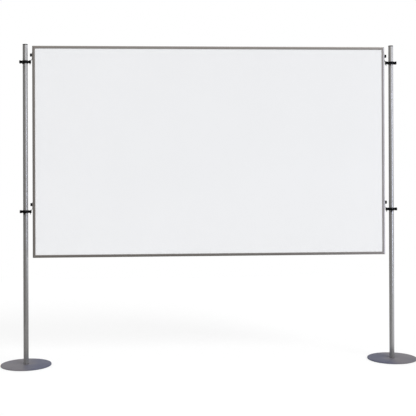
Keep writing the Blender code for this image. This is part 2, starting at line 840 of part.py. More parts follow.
def make_clamps_and_hooks():
    clamp = clamp_body()
    insert = clamp_insert()
    sleeve = grip_sleeve()
    lever = clamp_lever()
    strip = hook()
    screw = thumb_screw()
    socket = frame_insert()
    for side, axis in post_axes.items():
        towards_board = 1 if side == "left" else -1
        half_turn = 0 if side == "left" else math.pi
        outwards = -towards_board * math.pi / 2
        for level, height in CLAMP_LEVELS.items():
            name = f"{side}_{level}"
            centre = (0, 0, height)
            place(f"{name}_clamp", clamp, black_plastic, axis, centre)
            place(f"{name}_clamp_insert", insert, brass, axis, centre)
            place(f"{name}_grip_sleeve", sleeve, grey_plastic, axis, centre)
            turn = (0, LEVER_TURNS[name], 0)
            place(f"{name}_clamp_lever", lever, black_plastic, axis, centre, turn)
            place(f"{name}_hook", strip, zinc, axis, centre, (0, 0, half_turn))
            screw_height = height + HOOK_SCREW_RISE
            screw_x = towards_board * HOOK_PLATE_FACE
            turn = (0, outwards, 0)
            place(f"{name}_hook_screw", screw, black_plastic, axis, (screw_x, 0, screw_height), turn)
            socket_x = towards_board * POST_OFFSET
            place(f"{name}_frame_insert", socket, zinc, axis, (socket_x, 0, screw_height), turn)


clear_scene()
parts = new_collection("info_board")
cutters = new_collection("cutters")

anodised = new_material("anodised aluminium", (0.34, 0.32, 0.30), 0.40, 0.6)
silver = new_material("polished tube", (0.40, 0.40, 0.39), 0.30, 0.8)
powder = new_material("grey powder coat", (0.14, 0.14, 0.155), 0.38)
laminate = new_material("white laminate", (0.86, 0.87, 0.88), 0.35)
card = new_material("honeycomb board", (0.55, 0.42, 0.28), 0.90)
cast = new_material("cast alloy", (0.40, 0.40, 0.41), 0.55, 0.8)
steel = new_material("machined steel", (0.42, 0.42, 0.42), 0.40, 0.9)
zinc = new_material("zinc-plated steel", (0.48, 0.48, 0.46), 0.40, 0.9)
brass = new_material("brass", (0.60, 0.44, 0.18), 0.35, 0.9)
black_plastic = new_material("black plastic", (0.012, 0.012, 0.013), 0.45)
grey_plastic = new_material("dark grey plastic", (0.06, 0.06, 0.065), 0.50)
rubber = new_material("black rubber", (0.02, 0.02, 0.02), 0.80)

post_axes = {
    "left": axis_empty("left_post_axis", (-POST_X, 0, 0)),
    "right": axis_empty("right_post_axis", (POST_X, 0, 0)),
}

make_board()
make_stands()
make_clamps_and_hooks()
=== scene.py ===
"""Looks of the info board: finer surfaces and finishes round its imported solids.

Metres, in the frame of the solids: +Z up, +X to the viewer's right, +Y away
from the viewer, and the origin on the floor midway between the posts.
"""

import json
import math

import bmesh
import bpy
from mathutils import Matrix, Vector


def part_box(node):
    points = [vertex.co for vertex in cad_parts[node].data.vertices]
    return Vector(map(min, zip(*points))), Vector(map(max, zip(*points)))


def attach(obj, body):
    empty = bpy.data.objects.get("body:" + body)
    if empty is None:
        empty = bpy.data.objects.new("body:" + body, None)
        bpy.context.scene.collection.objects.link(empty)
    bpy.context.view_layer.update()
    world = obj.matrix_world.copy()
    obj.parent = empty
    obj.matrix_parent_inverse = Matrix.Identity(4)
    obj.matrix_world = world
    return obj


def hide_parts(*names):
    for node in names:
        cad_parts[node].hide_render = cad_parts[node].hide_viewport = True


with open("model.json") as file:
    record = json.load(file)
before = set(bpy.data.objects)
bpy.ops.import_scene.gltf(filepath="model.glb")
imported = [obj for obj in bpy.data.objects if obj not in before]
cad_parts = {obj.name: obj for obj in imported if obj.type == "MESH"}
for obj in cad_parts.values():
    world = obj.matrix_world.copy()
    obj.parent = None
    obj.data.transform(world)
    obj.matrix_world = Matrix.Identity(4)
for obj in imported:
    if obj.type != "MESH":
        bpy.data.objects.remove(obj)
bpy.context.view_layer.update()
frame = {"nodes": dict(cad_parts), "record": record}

# Camera, from the board's corners, the post ends and the discs in the photograph (in pixels)
IMAGE_SIZE = 416
FOCAL_PIXELS = 880.2
HORIZON_ROW = 158
CAMERA_PLACE = (-0.3226, -4.9877, 1.1442)
CAMERA_YAW = -0.0616
CAMERA_PITCH = 0.0027
CAMERA_ROLL = 0.0038
SENSOR = 36.0

# Sizes that the solids have
CLEARANCE = 0.0003
FRAME_FACE = 0.015
FRAME_DEPTH = 0.022
FRAME_WALL = 0.0014
FRAME_ROUND = 0.0022
REBATE_DEPTH = 0.0075
TUBE_WALL = 0.0015
CAP_ROUND = 0.0012
CAP_WALL = 0.0015
CAP_STEM = 0.012
DISC_ROUND = 0.0015
FLOOR_RING_WIDTH = 0.020
BOLT_DIAMETER = 0.010
BOLT_HEAD_DIAMETER = 0.018
BOLT_SOCKET_SIDES = 6
BOLT_SOCKET_ACROSS = 0.006
BOLT_SOCKET_DEPTH = 0.003
PLUG_CHAMFER = 0.001
SLEEVE_WALL = 0.0015
SLEEVE_LIP = 0.0022
SLEEVE_LIP_THICK = 0.0011
SLEEVE_SLIT = 0.004
RING_WALL = 0.0034
NECK_LENGTH = 0.002
NECK_WIDTH = 0.012
NECK_ROOT_ANGLE = math.radians(42)
POCKET_INNER_WALL = 0.0042
POCKET_OUTER_WALL = 0.0037
POCKET_SIDE_WALL = 0.0036
POCKET_MOUTH = 0.0015
BLOCK_ROUND = 0.003
BOSS_PROUD = 0.004
BOSS_WALL = 0.0014
RING_ABOVE_BOSS = 0.0005
NECK_STEP = 0.001
BLOCK_STEP = 0.0015
HOOK_THICK = 0.002
HOOK_WIDTH = 0.014
HOOK_BEND = 0.003
HOOK_CORNER = 0.003
HOOK_SCREW_RISE = 0.039
HOOK_ABOVE_SCREW = 0.013
HOOK_JOG_RUN = 0.0057
HOOK_JOG_RISE = 0.0062
TONGUE_PROUD = 0.009
TONGUE_TIP_WIDTH = 0.007
TONGUE_TAPER = 0.008
CLAMP_TO_FRAME = 0.008
SCREW_DIAMETER = 0.006
INSERT_WALL = 0.001
CLAMP_INSERT_LENGTH = 0.0054
HEAD_DIAMETER = 0.018
HEAD_THICK = 0.009
HEAD_COLLAR_DIAMETER = 0.011
HEAD_COLLAR_THICK = 0.0012
HEAD_FLUTES = 10
HEAD_FLUTE_DEPTH = 0.0006
HEAD_EDGE = 0.0008
STUD_SPARE = 0.0003
HUB_RADIUS = 0.006
HUB_LENGTH = 0.010
HUB_ROUND = 0.0015
LEVER_REACH = 0.019
LEVER_ROOT_WIDTH = 0.009
LEVER_TIP_WIDTH = 0.007
LEVER_THICK = 0.005
LEVER_LEAN = 0.12
LEVER_TURNS = {
    "left_upper": math.radians(34),
    "left_lower": math.radians(20),
    "right_upper": math.radians(49),
    "right_lower": math.radians(34),
}

# Sizes that only the finer surfaces have
EDGE = 0.0003
HEAD_DISH_RADIUS = 0.0055
HEAD_DISH_DEPTH = 0.0007
FLOOR_RING_GROOVES = 4
FLOOR_RING_GROOVE_DEPTH = 0.0004
CLAMP_VOXEL = 0.00035
CLAMP_SMOOTHING = 8
LEVER_VOXEL = 0.00025
LEVER_SMOOTHING = 10
SKIN_EASE = 0.5
SKIN_KEPT = 0.25

# What a texture's value, and the sum of two textures' values, mostly lies between
ONE_TEXTURE = (0.3, 0.7)
TWO_TEXTURES = (0.7, 1.3)

# Where across a disc painted shade turns its coat from grey to a darker blue, and how far it turns
PAINTED_SHADE_DRIFT = (-0.01, 0.07)
PAINTED_SHADE_SHIFT = 0.35

# Floor and fill: the share of the floor's own white that the camera sees, and the soft light all round
WHITE = (1.0, 1.0, 1.0)
FLOOR_HALF = 3.6
FLOOR_COLOUR = (0.95, 0.95, 0.95)
FLOOR_GLOW = 0.62
FLOOR_WHITE = 1.06
FILL = 0.79

# What metal sees: the room by the direction along X, and how it brightens upwards
ROOM_MIRRORED = [
    (-1.0, (0.09, 0.079, 0.068)),
    (-0.72, (0.20, 0.19, 0.175)),
    (-0.42, (0.52, 0.505, 0.49)),
    (0.30, (0.60, 0.60, 0.605)),
    (0.85, (1.10, 1.12, 1.22)),
]
ROOM_LEVEL = (0.30, 1.45)
ROOM_RISE = (-0.22, 0.28)
BACKDROP = (0.80, 0.80, 0.80)
BACKDROP_FADE = (0.35, 0.9)

# What metal sees of the floor: painted shade, darker towards its left, by the place along X, and a
# painted pool of light on it near the right stand
FLOOR_MIRRORED = [
    (-3.6, (0.10, 0.088, 0.075)),
    (-1.7, (0.24, 0.23, 0.22)),
    (1.15, (0.26, 0.26, 0.27)),
    (1.9, (1.15, 1.18, 1.30)),
]
POOL_COLOUR = (1.00, 1.02, 1.08)
POOL_ACROSS = (0.75, 1.30)
POOL_DEPTH = (-1.3, -0.7)

# What the left tube sees on its left: the two ends of a dark card, its heights and its shade
FLAG_PLACES = ((-1.045, -0.09), (-1.16, 0.0))
FLAG_HEIGHTS = (0.2, 2.3)
FLAG_COLOUR = (0.07, 0.062, 0.055)

# Lamps: a soft sun from the right, and a strip that only metal and gloss see
KEY_ENERGY = 0.95
KEY_ANGLE = math.radians(22)
KEY_PLACE = (3.0, -4.0, 5.0)
KEY_TARGET = (0.0, 0.0, 1.0)
STRIP_SIZE = (0.30, 2.3)
STRIP_PLACE = (2.3, -1.5, 1.15)
STRIP_TARGET = (1.0, 0.0, 1.15)
STRIP_ENERGY = 20.0
STRIP_COLOUR = (0.70, 0.76, 1.0)

# Facets
ROUND_STEPS = 96
DISC_STEPS = 192
SMALL_STEPS = 48
EDGE_STEPS = 3
BEND_STEPS = 12
WELD = 0.000001
SMOOTH_ANGLE = math.radians(35)
BEVEL_ANGLE = math.radians(50)
CORNER_SHARE = 0.45
OVERLAP = 0.001

# Values that follow from these
SIDES = ("left", "right")
LEVELS = ("upper", "lower")
BODY_OF = {
    node: body
    for body, members in frame["record"]["behaviour"]["bodies"].items()
    for node in members
}
TUBE_RADIUS = (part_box("left_post")[1].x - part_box("left_post")[0].x) / 2
TUBE_INSIDE = TUBE_RADIUS - TUBE_WALL
SLEEVE_INSIDE = TUBE_RADIUS + CLEARANCE
SLEEVE_OUTSIDE = SLEEVE_INSIDE + SLEEVE_WALL
RING_INSIDE = SLEEVE_OUTSIDE + CLEARANCE
RING_OUTSIDE = RING_INSIDE + RING_WALL
SCREW_RADIUS = SCREW_DIAMETER / 2
SCREW_HOLE = SCREW_RADIUS + CLEARANCE
INSERT_HOLE = SCREW_HOLE + INSERT_WALL + CLEARANCE
BOSS_RADIUS = INSERT_HOLE + BOSS_WALL
BOSS_FACE = RING_OUTSIDE + BOSS_PROUD
RING_HEIGHT = 2 * (BOSS_RADIUS + RING_ABOVE_BOSS)
NECK_HEIGHT = RING_HEIGHT - 2 * NECK_STEP
BLOCK_HEIGHT = RING_HEIGHT + 2 * BLOCK_STEP
SLOT_THICK = HOOK_THICK + 2 * CLEARANCE
SLOT_WIDTH = HOOK_WIDTH + 2 * CLEARANCE
BLOCK_WIDTH = SLOT_WIDTH + 2 * POCKET_SIDE_WALL
BLOCK_START = RING_OUTSIDE + NECK_LENGTH
POCKET_REACH = BLOCK_START + POCKET_INNER_WALL + SLOT_THICK / 2
BLOCK_END = POCKET_REACH + SLOT_THICK / 2 + POCKET_OUTER_WALL
POST_OFFSET = BLOCK_END + CLAMP_TO_FRAME
HOOK_PLATE_FACE = POST_OFFSET - CLEARANCE - HOOK_THICK
SLOT_HALF = FRAME_DEPTH / 2 - FRAME_WALL
CHAMBER_START = REBATE_DEPTH + FRAME_WALL
CHAMBER_END = FRAME_FACE - FRAME_WALL
FORWARD = Matrix.Rotation(math.pi / 2, 4, "X")


# Mesh tools


def blank(data):
    piece = bpy.data.objects.new("blank", data)
    bpy.context.scene.collection.objects.link(piece)
    return piece


def settled(piece):
    """The piece as its curve or its modifiers leave it: one welded mesh with its faces outwards."""
    graph = bpy.context.evaluated_depsgraph_get()
    mesh = bpy.data.meshes.new_from_object(piece.evaluated_get(graph), depsgraph=graph)
    bpy.data.objects.remove(piece, do_unlink=True)
    shape = bmesh.new()
    shape.from_mesh(mesh)
    bmesh.ops.remove_doubles(shape, verts=shape.verts, dist=WELD)
    bmesh.ops.recalc_face_normals(shape, faces=shape.faces)
    shape.to_mesh(mesh)
    shape.free()
    return mesh


def combined(first, second, operation):
    body = blank(first)
    tool = blank(second)
    step = body.modifiers.new("combine", "BOOLEAN")
    step.operation = operation
    step.solver = "EXACT"
    step.object = tool
    mesh = settled(body)
    bpy.data.objects.remove(tool, do_unlink=True)
    return mesh


def joined(first, *others):
    for other in others:
        first = combined(first, other, "UNION")
    return first


def cut(body, *tools):
    for tool in tools:
        body = combined(body, tool, "DIFFERENCE")
    return body


def moved(mesh, matrix):
    mesh.transform(matrix)
    return mesh


def box(size, centre=(0, 0, 0)):
    shape = bmesh.new()
    bmesh.ops.create_cube(shape, size=1.0)
    bmesh.ops.scale(shape, vec=size, verts=shape.verts)
    bmesh.ops.translate(shape, vec=centre, verts=shape.verts)
    mesh = bpy.data.meshes.new("box")
    shape.to_mesh(mesh)
    shape.free()
    return mesh


def rod(radius, low, high, steps, top_radius=None):
    """A cylinder along Z from low to high, or a cone where the top radius differs."""
    shape = bmesh.new()
    bmesh.ops.create_cone(
        shape,
        cap_ends=True,
        segments=steps,
        radius1=radius,
        radius2=radius if top_radius is None else top_radius,
        depth=high - low,
    )
    bmesh.ops.translate(shape, vec=(0, 0, (low + high) / 2), verts=shape.verts)
    mesh = bpy.data.meshes.new("rod")
    shape.to_mesh(mesh)
    shape.free()
    return mesh


def turned(profile, steps, ring=False):
    """A profile of (radius, height), read down its outer side, turned once about Z."""
    mesh = bpy.data.meshes.new("profile")
    edges = [(i, i + 1) for i in range(len(profile) - 1)]
    if ring:
        edges.append((len(profile) - 1, 0))
    mesh.from_pydata([(radius, 0, height) for radius, height in profile], edges, [])
    piece = blank(mesh)
    screw = piece.modifiers.new("turn", "SCREW")
    screw.axis = "Z"
    screw.angle = math.tau
    screw.steps = steps
    screw.render_steps = steps
    screw.use_merge_vertices = True
    screw.merge_threshold = WELD
    return settled(piece)


def plate(loops, thickness):
    """A flat outline in XY, with any further loops as its holes, thick along Z."""
    curve = bpy.data.curves.new("outline", "CURVE")
    curve.dimensions = "2D"
    curve.fill_mode = "BOTH"
    curve.extrude = thickness / 2
    for loop in loops:
        spline = curve.splines.new("POLY")
        spline.points.add(len(loop) - 1)
        for point, (x, y) in zip(spline.points, loop):
            point.co = (x, y, 0, 1)
        spline.use_cyclic_u = True
    return settled(blank(curve))


def arc(x, y, radius, start, end, steps):
    angles = [start + (end - start) * i / steps for i in range(steps + 1)]
    return [(x + radius * math.cos(a), y + radius * math.sin(a)) for a in angles]


def circle(x, y, radius, steps):
    return arc(x, y, radius, 0, math.tau, steps)[:-1]


def softened(points, radii, ring=False):
    """The outline with each corner rounded to its radius. An open outline keeps its two ends."""
    soft = []
    last = len(points) - 1
    for i, (here, radius) in enumerate(zip(points, radii)):
        before = points[i - 1]
        after = points[(i + 1) % len(points)]
        if radius == 0 or (not ring and i in (0, last)):
            soft.append(here)
            continue
        back = math.dist(here, before)
        ahead = math.dist(here, after)
        come = ((before[0] - here[0]) / back, (before[1] - here[1]) / back)
        leave = ((after[0] - here[0]) / ahead, (after[1] - here[1]) / ahead)
        half = math.acos(max(-1.0, min(1.0, come[0] * leave[0] + come[1] * leave[1]))) / 2
        reach = min(radius / math.tan(half), CORNER_SHARE * back, CORNER_SHARE * ahead)
        round_radius = reach * math.tan(half)
        middle_x = (come[0] + leave[0]) / 2 / math.cos(half)
        middle_y = (come[1] + leave[1]) / 2 / math.cos(half)
        out = round_radius / math.sin(half)
        centre_x = here[0] + middle_x * out
        centre_y = here[1] + middle_y * out
        start = math.atan2(here[1] + come[1] * reach - centre_y, here[0] + come[0] * reach - centre_x)
        end = math.atan2(here[1] + leave[1] * reach - centre_y, here[0] + leave[0] * reach - centre_x)
        sweep = math.remainder(end - start, math.tau)
        soft += arc(centre_x, centre_y, round_radius, start, start + sweep, EDGE_STEPS)
    return soft


def eased(points, radius, ring=False):
    """The outline with every corner rounded alike."""
    return softened(points, [radius] * len(points), ring)


def rounded_rectangle(width, height, radius, steps):
    x = width / 2 - radius
    y = height / 2 - radius
    quarter = math.pi / 2
    points = []
    for i, (corner_x, corner_y) in enumerate([(x, y), (-x, y), (-x, -y), (x, -y)]):
        points += arc(corner_x, corner_y, radius, i * quarter, (i + 1) * quarter, steps)
    return points


def remoulded(mesh, voxel, smoothing):
    """The shape as one skin with every edge and corner rounded, as a mould leaves it."""
    piece = blank(mesh)
    skin = piece.modifiers.new("skin", "REMESH")
    skin.mode = "VOXEL"
    skin.voxel_size = voxel
    ease = piece.modifiers.new("ease", "SMOOTH")
    ease.factor = SKIN_EASE
    ease.iterations = smoothing
    thin = piece.modifiers.new("thin", "DECIMATE")
    thin.ratio = SKIN_KEPT
    return settled(piece)


def bevelled(mesh, width):
    """The sharp rims of a plate rounded off."""
    piece = blank(mesh)
    bevel = piece.modifiers.new("edges", "BEVEL")
    bevel.width = width
    bevel.segments = EDGE_STEPS
    bevel.limit_method = "ANGLE"
    bevel.angle_limit = BEVEL_ANGLE
    return settled(piece)


def stand_in(node, mesh, slot, place):
    """A finer piece in the place of a solid, on the solid's body."""
    if not mesh.materials:
        mesh.materials.append(finishes[slot])
        mesh.shade_smooth()
        mesh.set_sharp_from_angle(angle=SMOOTH_ANGLE)
    piece = bpy.data.objects.new(f"{node}_finished", mesh)
    piece.matrix_world = place
    bpy.context.scene.collection.objects.link(piece)
    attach(piece, BODY_OF[node])
    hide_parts(node)
    return piece


def refinish(node, slot):
    """A solid whose shape is right as it is gets its finish."""
    thing = frame["nodes"][node]
    thing.data.materials.clear()
    thing.data.materials.append(finishes[slot])


def middle(node):
    low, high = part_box(node)
    return (low + high) / 2


# Finishes


class Finish:
    """A material whose shader is fed by textures in the piece's own coordinates."""

    def __init__(self, name, roughness, metallic=0.0):
        self.material = bpy.data.materials.new(name)
        self.material.use_nodes = True
        self.tree = self.material.node_tree
        self.shader = self.tree.nodes["Principled BSDF"]
        self.shader.inputs["Roughness"].default_value = roughness
        self.shader.inputs["Metallic"].default_value = metallic
        self.place = self.node("ShaderNodeTexCoord").outputs["Object"]

    def node(self, kind, inputs=(), **settings):
        made = self.tree.nodes.new(kind)
        for name, value in settings.items():
            setattr(made, name, value)
        for name, value in dict(inputs).items():
            socket = made.inputs[name]
            if isinstance(value, bpy.types.NodeSocket):
                self.tree.links.new(value, socket)
            else:
                socket.default_value = value
        return made

    def stretched(self, scale):
        mapping = self.node("ShaderNodeMapping", {"Vector": self.place, "Scale": scale})
        return mapping.outputs["Vector"]

    def noise(self, scale, detail=2.0, roughness=0.5, place=None):
        made = self.node(
            "ShaderNodeTexNoise",
            {
                "Vector": place or self.place,
                "Scale": scale,
                "Detail": detail,
                "Roughness": roughness,
            },
        )
        return made.outputs["Fac"]

    def spread(self, value, low, high, given=ONE_TEXTURE):
        """A number between low and high, by where a value lies in its given range."""
        ends = {"From Min": given[0], "From Max": given[1], "To Min": low, "To Max": high}
        return self.node("ShaderNodeMapRange", {"Value": value, **ends}).outputs["Result"]

    def tone(self, value, dark, light, given=ONE_TEXTURE):
        """A colour between dark and light, by a texture's value."""
        share = self.spread(value, 0.0, 1.0, given)
        made = self.node("ShaderNodeMix", {"Factor": share}, data_type="RGBA")
        colour_inputs = [s for s in made.inputs if s.type == "RGBA"]
        colour_inputs[0].default_value = (*dark, 1.0)
        colour_inputs[1].default_value = (*light, 1.0)
        return [s for s in made.outputs if s.type == "RGBA"][0]

    def total(self, first, second):
        made = self.node("ShaderNodeMath", operation="ADD")
        self.tree.links.new(first, made.inputs[0])
        self.tree.links.new(second, made.inputs[1])
        return made.outputs["Value"]

    def feed(self, socket, value):
        self.tree.links.new(value, self.shader.inputs[socket])

    def bump(self, height, distance, strength=1.0):
        made = self.node(
            "ShaderNodeBump", {"Height": height, "Distance": distance, "Strength": strength}
        )
        self.feed("Normal", made.outputs["Normal"])


def shades(colour, variation):
    dark = tuple(c * (1 - variation) for c in colour)
    light = tuple(c * (1 + variation) for c in colour)
    return dark, light


def drawn_metal(name, colour, roughness, metallic):
    """Anodised metal with the fine lines along Z that a drawing die leaves."""
    finish = Finish(name, roughness, metallic)
    lines = finish.noise(1.0, 2.0, 0.6, finish.stretched((2200.0, 2200.0, 3.0)))
    streaks = finish.noise(1.0, 2.0, 0.5, finish.stretched((160.0, 160.0, 0.9)))
    mixed = finish.total(lines, streaks)
    finish.feed("Base Color", finish.tone(mixed, *shades(colour, 0.06), TWO_TEXTURES))
    finish.feed("Roughness", finish.spread(mixed, roughness - 0.05, roughness + 0.05, TWO_TEXTURES))
    finish.bump(lines, 0.00001, 0.5)
    return finish.material


def powder_coat(name, warm, painted_shade_and_cloud_colour, roughness, shine):
    """A thin satin coat with painted shade that makes it darker and bluer on the side of +X, bluer in
    broad clouds too, with fine orange peel.
    """
    finish = Finish(name, roughness)
    finish.shader.inputs["Specular IOR Level"].default_value = shine
    peel = finish.noise(700.0, 1.0)
    speckle = finish.noise(4200.0, 1.0)
    clouds = finish.noise(9.0, 2.0)
    # painted shade: the coat turns darker and bluer towards +X, the side that faces the middle of the
    # board
    across = finish.node("ShaderNodeSeparateXYZ", {"Vector": finish.place}).outputs["X"]
    side = finish.spread(across, -PAINTED_SHADE_SHIFT, PAINTED_SHADE_SHIFT, PAINTED_SHADE_DRIFT)
    mixed = finish.total(speckle, clouds)
    finish.feed("Base Color", finish.tone(finish.total(mixed, side), warm, painted_shade_and_cloud_colour, TWO_TEXTURES))
    finish.feed("Roughness", finish.spread(mixed, roughness - 0.05, roughness + 0.05, TWO_TEXTURES))
    finish.bump(peel, 0.00003, 0.4)
    return finish.material


def white_laminate(name, colour, roughness):
    """Hard white sheet, almost even, with a very fine pebble."""
    finish = Finish(name, roughness)
    pebble = finish.noise(1400.0, 2.0)
    patches = finish.noise(2.5, 2.0)
    mixed = finish.total(pebble, patches)
    finish.feed("Base Color", finish.tone(patches, *shades(colour, 0.004)))
    finish.feed("Roughness", finish.spread(mixed, roughness - 0.05, roughness + 0.05, TWO_TEXTURES))
    finish.bump(pebble, 0.00001, 0.4)
    return finish.material


def moulded_plastic(name, colour, roughness, shine):
    """Plastic from a spark-eroded mould: fine grain over faint flow marks."""
    finish = Finish(name, roughness)
    finish.shader.inputs["Specular IOR Level"].default_value = shine
    grain = finish.noise(3800.0, 2.0, 0.6)
    flow = finish.noise(90.0, 3.0)
    mixed = finish.total(grain, flow)
    finish.feed("Base Color", finish.tone(mixed, *shades(colour, 0.25), TWO_TEXTURES))
    finish.feed("Roughness", finish.spread(mixed, roughness - 0.08, roughness + 0.08, TWO_TEXTURES))
    finish.bump(grain, 0.00003, 0.6)
    return finish.material


def plated_steel(name, colour, roughness):
    """Plated steel, with the plating's soft cloudy patches and a fine tumbled surface."""
    finish = Finish(name, roughness, 1.0)
    clouds = finish.noise(140.0, 3.0, 0.6)
    tumbled = finish.noise(2600.0, 2.0)
    mixed = finish.total(clouds, tumbled)
    finish.feed("Base Color", finish.tone(mixed, *shades(colour, 0.09), TWO_TEXTURES))
    finish.feed("Roughness", finish.spread(mixed, roughness - 0.07, roughness + 0.07, TWO_TEXTURES))
    finish.bump(tumbled, 0.00001, 0.5)
    return finish.material


def cast_metal(name, colour, roughness):
    """Bare metal with a gritty skin."""
    finish = Finish(name, roughness, 1.0)
    grit = finish.noise(1900.0, 4.0, 0.7)
    finish.feed("Base Color", finish.tone(grit, *shades(colour, 0.12)))
    finish.feed("Roughness", finish.spread(grit, roughness - 0.08, roughness + 0.08))
    finish.bump(grit, 0.00005, 0.8)
    return finish.material


def paper_core(name, colour, roughness):
    """Honeycomb board: kraft paper cells that show at a cut edge."""
    finish = Finish(name, roughness)
    cells = finish.node("ShaderNodeTexVoronoi", {"Vector": finish.place, "Scale": 90.0})
    fibres = finish.noise(1500.0, 3.0)
    finish.feed("Base Color", finish.tone(fibres, *shades(colour, 0.15)))
    finish.bump(cells.outputs["Distance"], 0.0005, 0.7)
    return finish.material


def soft_rubber(name, colour, roughness):
    finish = Finish(name, roughness)
    grain = finish.noise(1600.0, 3.0)
    finish.feed("Base Color", finish.tone(grain, *shades(colour, 0.3)))
    finish.feed("Roughness", finish.spread(grain, roughness - 0.08, roughness + 0.08))
    finish.bump(grain, 0.00005, 0.7)
    return finish.material


# Board


def frame_section():
    """The extrusion's outline, open to the board at x = 0, and the chamber for the corner keys."""
    half = FRAME_DEPTH / 2
    corners = [
        ((0, -half), EDGE),
        ((FRAME_FACE, -half), FRAME_ROUND),
        ((FRAME_FACE, half), FRAME_ROUND),
        ((0, half), EDGE),
        ((0, SLOT_HALF), EDGE),
        ((REBATE_DEPTH, SLOT_HALF), 0),
        ((REBATE_DEPTH, -SLOT_HALF), 0),
        ((0, -SLOT_HALF), EDGE),
    ]
    chamber = [
        (CHAMBER_START, -SLOT_HALF),
        (CHAMBER_END, -SLOT_HALF),
        (CHAMBER_END, SLOT_HALF),
        (CHAMBER_START, SLOT_HALF),
    ]
    points, radii = zip(*corners)
    return [softened(points, radii, ring=True), eased(chamber, EDGE, ring=True)]


def frame_member(length, screw_heights=()):
    """An extrusion along Z with mitred ends, its outer side at +X, drilled for the hook screws."""
    mesh = plate(frame_section(), length)
    for vertex in mesh.vertices:
        back = FRAME_FACE - vertex.co.x + CLEARANCE / math.sqrt(2)
        vertex.co.z -= math.copysign(back, vertex.co.z)
    for height in screw_heights:
        drill = rod(INSERT_HOLE, CHAMBER_END - OVERLAP, FRAME_FACE + OVERLAP, SMALL_STEPS)
        to_side = Matrix.Translation((0, 0, height)) @ Matrix.Rotation(math.pi / 2, 4, "Y")
        mesh = cut(mesh, moved(drill, to_side))
    return mesh


def dress_board():
    centre = middle("board_core")
    low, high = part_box("left_stile")
    screw_heights = [middle(f"left_{level}_frame_insert").z - centre.z for level in LEVELS]
    stile = frame_member(high.z - low.z, screw_heights)
    low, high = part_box("top_rail")
    rail = frame_member(high.x - low.x)
    members = [
        ("right_stile", stile, 0, "Z"),
        ("top_rail", rail, -math.pi / 2, "Y"),
        ("left_stile", stile, math.pi, "Z"),
        ("bottom_rail", rail, math.pi / 2, "Y"),
    ]
    for node, mesh, turn, axis in members:
        place = Matrix.Translation(frame_root(node, centre)) @ Matrix.Rotation(turn, 4, axis)
        stand_in(node, mesh, "frame", place)
    for node in ("front_sheet", "back_sheet"):
        refinish(node, "sheet")
    refinish("board_core", "core")
    for corner in ("top_left", "top_right", "bottom_left", "bottom_right"):
        refinish(f"{corner}_key", "casting")


def frame_root(node, centre):
    """Where the inner edge of a frame member's front face runs, at the member's middle."""
    low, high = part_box(node)
    if node == "right_stile":
        return (high.x - FRAME_FACE, centre.y, centre.z)
    if node == "left_stile":
        return (low.x + FRAME_FACE, centre.y, centre.z)
    if node == "top_rail":
        return (centre.x, centre.y, high.z - FRAME_FACE)
    return (centre.x, centre.y, low.z + FRAME_FACE)


# Stands


def post_tube(height):
    """The tube from z = 0 up, its ends deburred."""
    profile = [(TUBE_INSIDE, height), (TUBE_RADIUS, height), (TUBE_RADIUS, 0), (TUBE_INSIDE, 0)]
    return turned(eased(profile, EDGE, ring=True), ROUND_STEPS, ring=True)


def end_cap(height):
    """A push-in cap: its head stands on the tube at z = 0, its hollow stem goes down inside."""
    stem = TUBE_INSIDE - CLEARANCE
    corners = [
        ((0, height), 0),
        ((TUBE_RADIUS, height), CAP_ROUND),
        ((TUBE_RADIUS, 0), EDGE),
        ((stem, 0), 0),
        ((stem, -CAP_STEM), EDGE),
        ((stem - CAP_WALL, -CAP_STEM), EDGE),
        ((stem - CAP_WALL, -CAP_WALL), 0),
        ((0, -CAP_WALL), 0),
    ]
    points, radii = zip(*corners)
    return turned(softened(points, radii), ROUND_STEPS)


def base_disc(radius, thick):
    """Round plate with a softened rim and a countersunk hole, its underside at z = 0."""
    hole = BOLT_DIAMETER / 2 + CLEARANCE
    sink = BOLT_HEAD_DIAMETER / 2 + 2 * CLEARANCE
    corners = [
        ((hole, thick), EDGE),
        ((radius, thick), DISC_ROUND),
        ((radius, 0), EDGE),
        ((sink, 0), EDGE),
        ((hole, sink - hole), 0),
    ]
    points, radii = zip(*corners)
    return turned(softened(points, radii, ring=True), DISC_STEPS, ring=True)


def base_bolt(length):
    """Countersunk bolt, head down, its flat head at z = 0, with a socket for a hexagon key."""
    radius = BOLT_DIAMETER / 2
    head = BOLT_HEAD_DIAMETER / 2
    profile = [
        (0, length),
        (radius - PLUG_CHAMFER, length),
        (radius, length - PLUG_CHAMFER),
        (radius, head - radius),
        (head, 0),
        (0, 0),
    ]
    corner_radius = BOLT_SOCKET_ACROSS / 2 / math.cos(math.pi / BOLT_SOCKET_SIDES)
    socket = rod(corner_radius, -OVERLAP, BOLT_SOCKET_DEPTH, BOLT_SOCKET_SIDES)
    return cut(turned(profile, SMALL_STEPS), socket)


def floor_ring(outside, thick):
    """Flat rubber ring, with fine grooves round its underside for grip."""
    inside = outside - FLOOR_RING_WIDTH
    pitch = FLOOR_RING_WIDTH / (FLOOR_RING_GROOVES + 1)
    profile = [(inside, thick), (outside, thick), (outside, 0)]
    for i in range(FLOOR_RING_GROOVES):
        groove = outside - (i + 1) * pitch
        profile += [(groove + EDGE, 0), (groove, FLOOR_RING_GROOVE_DEPTH), (groove - EDGE, 0)]
    profile.append((inside, 0))
    return turned(profile, DISC_STEPS, ring=True)


